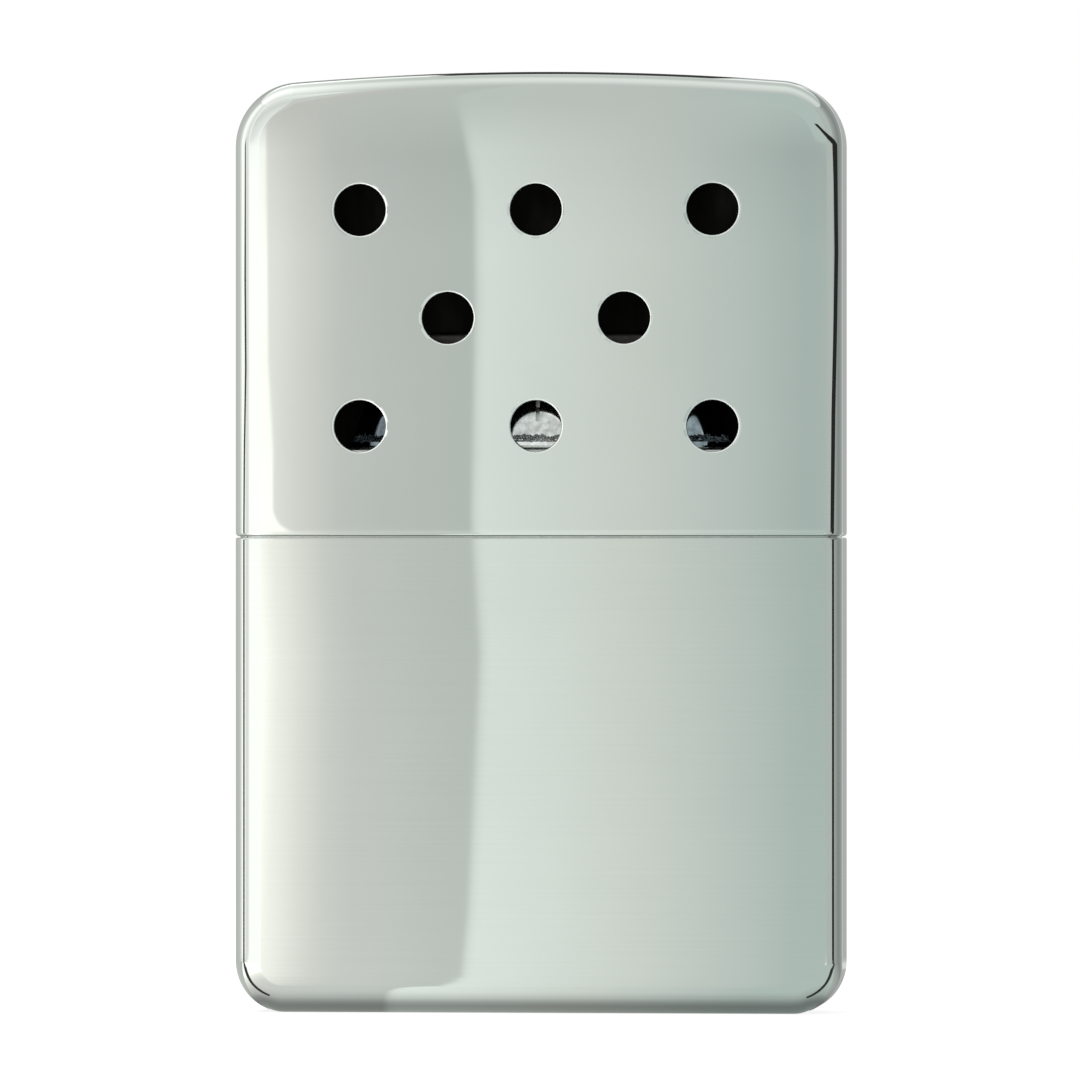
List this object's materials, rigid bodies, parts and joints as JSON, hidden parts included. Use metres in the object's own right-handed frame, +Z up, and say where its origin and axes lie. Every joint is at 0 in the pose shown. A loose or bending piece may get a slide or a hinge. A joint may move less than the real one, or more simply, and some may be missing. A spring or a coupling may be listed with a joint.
{
  "type": "catalytic hand warmer",
  "caption": "Flat pocket warmer: vented lid that pulls off a fuel tank with wadding and a filler neck, and a lift-off catalytic burner inside.",
  "frame": {"origin": "centre of the flat base on which the closed warmer stands", "axes": "+Z up along the height, towards the crowned lid; the vented front faces -Y; +X to the right seen from the front"},
  "size_m": [0.066, 0.013, 0.102],
  "materials": {
    "lid_chrome": "polished",
    "case_chrome": "polished, faintly brushed",
    "collar_steel": "satin",
    "neck_steel": "satin",
    "neck_gauze_wire": "woven wire",
    "ring_steel": "satin",
    "felt": "felted wool",
    "cotton": "loose cotton",
    "burner_chrome": "polished",
    "plate_steel": "perforated",
    "cage_steel": "stamped",
    "gauze_wire": "woven wire",
    "catalyst_fibre": "glass fibre with catalyst",
    "hoop_wire": "drawn wire"
  },
  "bodies": {
    "case": {"case_shell": "case_chrome", "tank_top": "collar_steel", "filler_neck": "neck_steel", "neck_gauze": "neck_gauze_wire", "neck_ring": "ring_steel", "wick_felt": "felt", "cotton_pad_lower": "cotton", "cotton_pad_middle": "cotton", "cotton_pad_upper": "cotton"},
    "lid": {"lid_shell": "lid_chrome"},
    "burner": {"burner_skirt": "burner_chrome", "vapour_plate": "plate_steel", "cage_front": "cage_steel", "cage_back": "cage_steel", "burner_cap": "burner_chrome", "gauze_front": "gauze_wire", "gauze_back": "gauze_wire", "catalyst_mat": "catalyst_fibre", "mat_hoops": "hoop_wire"}
  },
  "joints": [
    {"name": "lid_slide", "type": "slide", "parent": "case", "child": "lid", "axis": [0, 0, 1], "range_m": [0, 0.045]},
    {"name": "burner_slide", "type": "slide", "parent": "case", "child": "burner", "axis": [0, 0, 1], "range_m": [0, 0.02]}
  ]
}
